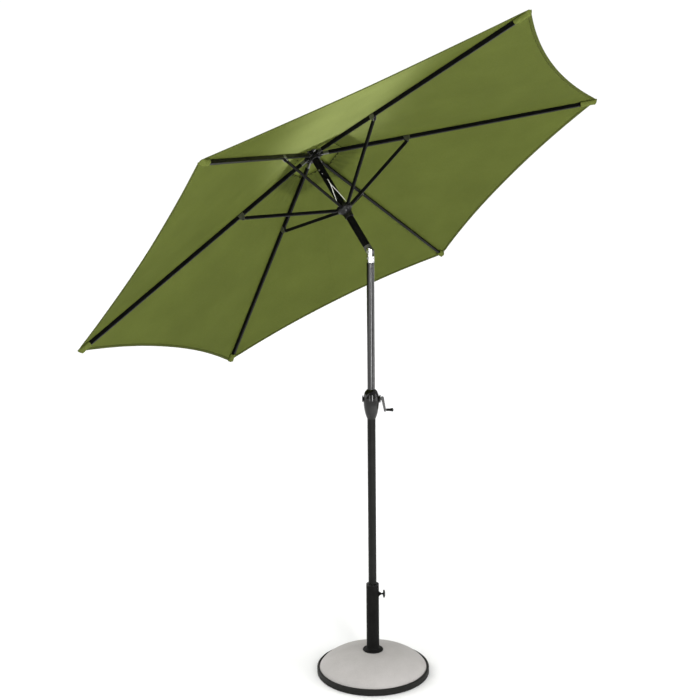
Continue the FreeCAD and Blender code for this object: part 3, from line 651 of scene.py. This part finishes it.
def softbox(name, place, facing, width, height, radiance, colour=(1, 1, 1), spread=180,
            up=(0, 0, 1)):
    """A rectangular light that the camera doesn't see itself."""
    data = bpy.data.lights.new(name, "AREA")
    data.shape, data.size, data.size_y = "RECTANGLE", width, height
    data.energy, data.color = radiance * math.pi * width * height, colour
    data.spread = math.radians(spread)
    light = bpy.data.objects.new(name, data)
    bpy.context.scene.collection.objects.link(light)
    light.location = place
    back = -Vector(facing).normalized()
    side = Vector(up).cross(back).normalized()
    light.rotation_euler = Matrix((side, back.cross(side), back)).transposed().to_euler()
    light.visible_camera = False
    return light


def strip_light(name, azimuth, width, radiance):
    """An upright softbox that faces the pole, turned azimuth degrees right of the camera."""
    distance, low, high = 3.2, 0.75, 2.6
    turn = math.radians(azimuth)
    out = Vector((math.sin(turn), -math.cos(turn), 0))
    middle = out * distance + Vector((0, 0, (low + high) / 2))
    softbox(name, middle, -out, width, high - low, radiance)


# Brightness of the room against the X direction: from X, to X, brightness there and there.
WALLS_LEFT_TO_RIGHT = (-0.6, 0.6, 0.10, 0.50)
WALLS_SEEN_BY_CAMERA = 1.05
SUN_STRENGTH, SUN_ANGLE, SUN_LEAN = 3.75, 110, (-12, -40)
GLOW_COLOUR = (0.56, 0.52, 1.0)


def room():
    """An even white room to the camera, but darker on the left to whatever it lights."""
    world = bpy.data.worlds.new("studio")
    world.use_nodes = True
    tree = world.node_tree
    background = tree.nodes["Background"]
    background.inputs["Color"].default_value = (1, 1, 1, 1)
    coords, parts = tree.nodes.new("ShaderNodeTexCoord"), tree.nodes.new("ShaderNodeSeparateXYZ")
    tree.links.new(coords.outputs["Generated"], parts.inputs[0])
    walls = tree.nodes.new("ShaderNodeMapRange")
    for label, value in zip(("From Min", "From Max", "To Min", "To Max"), WALLS_LEFT_TO_RIGHT):
        walls.inputs[label].default_value = value
    tree.links.new(parts.outputs["X"], walls.inputs["Value"])
    path, strength = tree.nodes.new("ShaderNodeLightPath"), tree.nodes.new("ShaderNodeMapRange")
    strength.inputs["To Max"].default_value = WALLS_SEEN_BY_CAMERA
    tree.links.new(walls.outputs[0], strength.inputs["To Min"])
    tree.links.new(path.outputs["Is Camera Ray"], strength.inputs["Value"])
    tree.links.new(strength.outputs[0], background.inputs["Strength"])
    bpy.context.scene.world = world


def lights():
    """Soft overhead light, upright strips that the pole and crank reflect, a fill from the right,
    and a narrow softbox over the gore between ribs e and f, whose fabric it shines through."""
    room()
    data = bpy.data.lights.new("overhead", "SUN")
    data.energy, data.angle = SUN_STRENGTH, math.radians(SUN_ANGLE)
    sun = bpy.data.objects.new("overhead", data)
    bpy.context.scene.collection.objects.link(sun)
    sun.rotation_euler = (math.radians(SUN_LEAN[0]), math.radians(SUN_LEAN[1]), 0)
    strip_light("strip_left", -24, 1.0, 2.8)
    strip_light("strip_right", 17, 0.50, 18.0)
    strip_light("strip_side", 76, 0.22, 12.0)
    fill = softbox("fill_right", (3.0, -1.4, 1.1), (-0.9, 0.42, 0.0), 1.8, 1.9, 4.2)
    fill.visible_glossy = False
    ribs = [rib_frame(letter).to_3x3() @ Vector((1, 0, 0)) for letter in "ef"]
    out = (ribs[0] + ribs[1]).normalized()
    above = (AXIS + out * math.tan(RIB_SLOPE)).normalized()
    middle = CROWN + out * 0.66 - AXIS * 0.2
    softbox("over_near_gore", middle + above * 0.28, -above, 0.5, 1.1, 10.6, GLOW_COLOUR, 80, up=out)


CAMERA_PLACE = (0.0013, -5.0166, 2.3474)
CAMERA_YAW, CAMERA_PITCH, CAMERA_ROLL = -1.108, -8.952, -0.562
CAMERA_LENS, CAMERA_SENSOR = 57.112, 36.0


def camera():
    """Where the umbrella is seen from: just above eye height, looking slightly down."""
    yaw, pitch, roll = (math.radians(turn) for turn in (CAMERA_YAW, CAMERA_PITCH, CAMERA_ROLL))
    level = math.cos(pitch)
    forward = Vector((math.sin(yaw) * level, math.cos(yaw) * level, math.sin(pitch)))
    right = Vector((math.cos(yaw), -math.sin(yaw), 0))
    up = right.cross(forward)
    tilted_right = right * math.cos(roll) + up * math.sin(roll)
    tilted_up = up * math.cos(roll) - right * math.sin(roll)
    data = bpy.data.cameras.new("camera")
    data.lens, data.sensor_width = CAMERA_LENS, CAMERA_SENSOR
    thing = bpy.data.objects.new("camera", data)
    bpy.context.scene.collection.objects.link(thing)
    turn = Matrix((tilted_right, tilted_up, -forward)).transposed().to_4x4()
    thing.matrix_world = Matrix.Translation(CAMERA_PLACE) @ turn
    bpy.context.scene.camera = thing


paint_cad_nodes()
build_canopy()
lifting_cord()
floor()
lights()
camera()
bpy.context.scene.view_settings.view_transform = "Standard"
bpy.context.scene.cycles.use_denoising = True
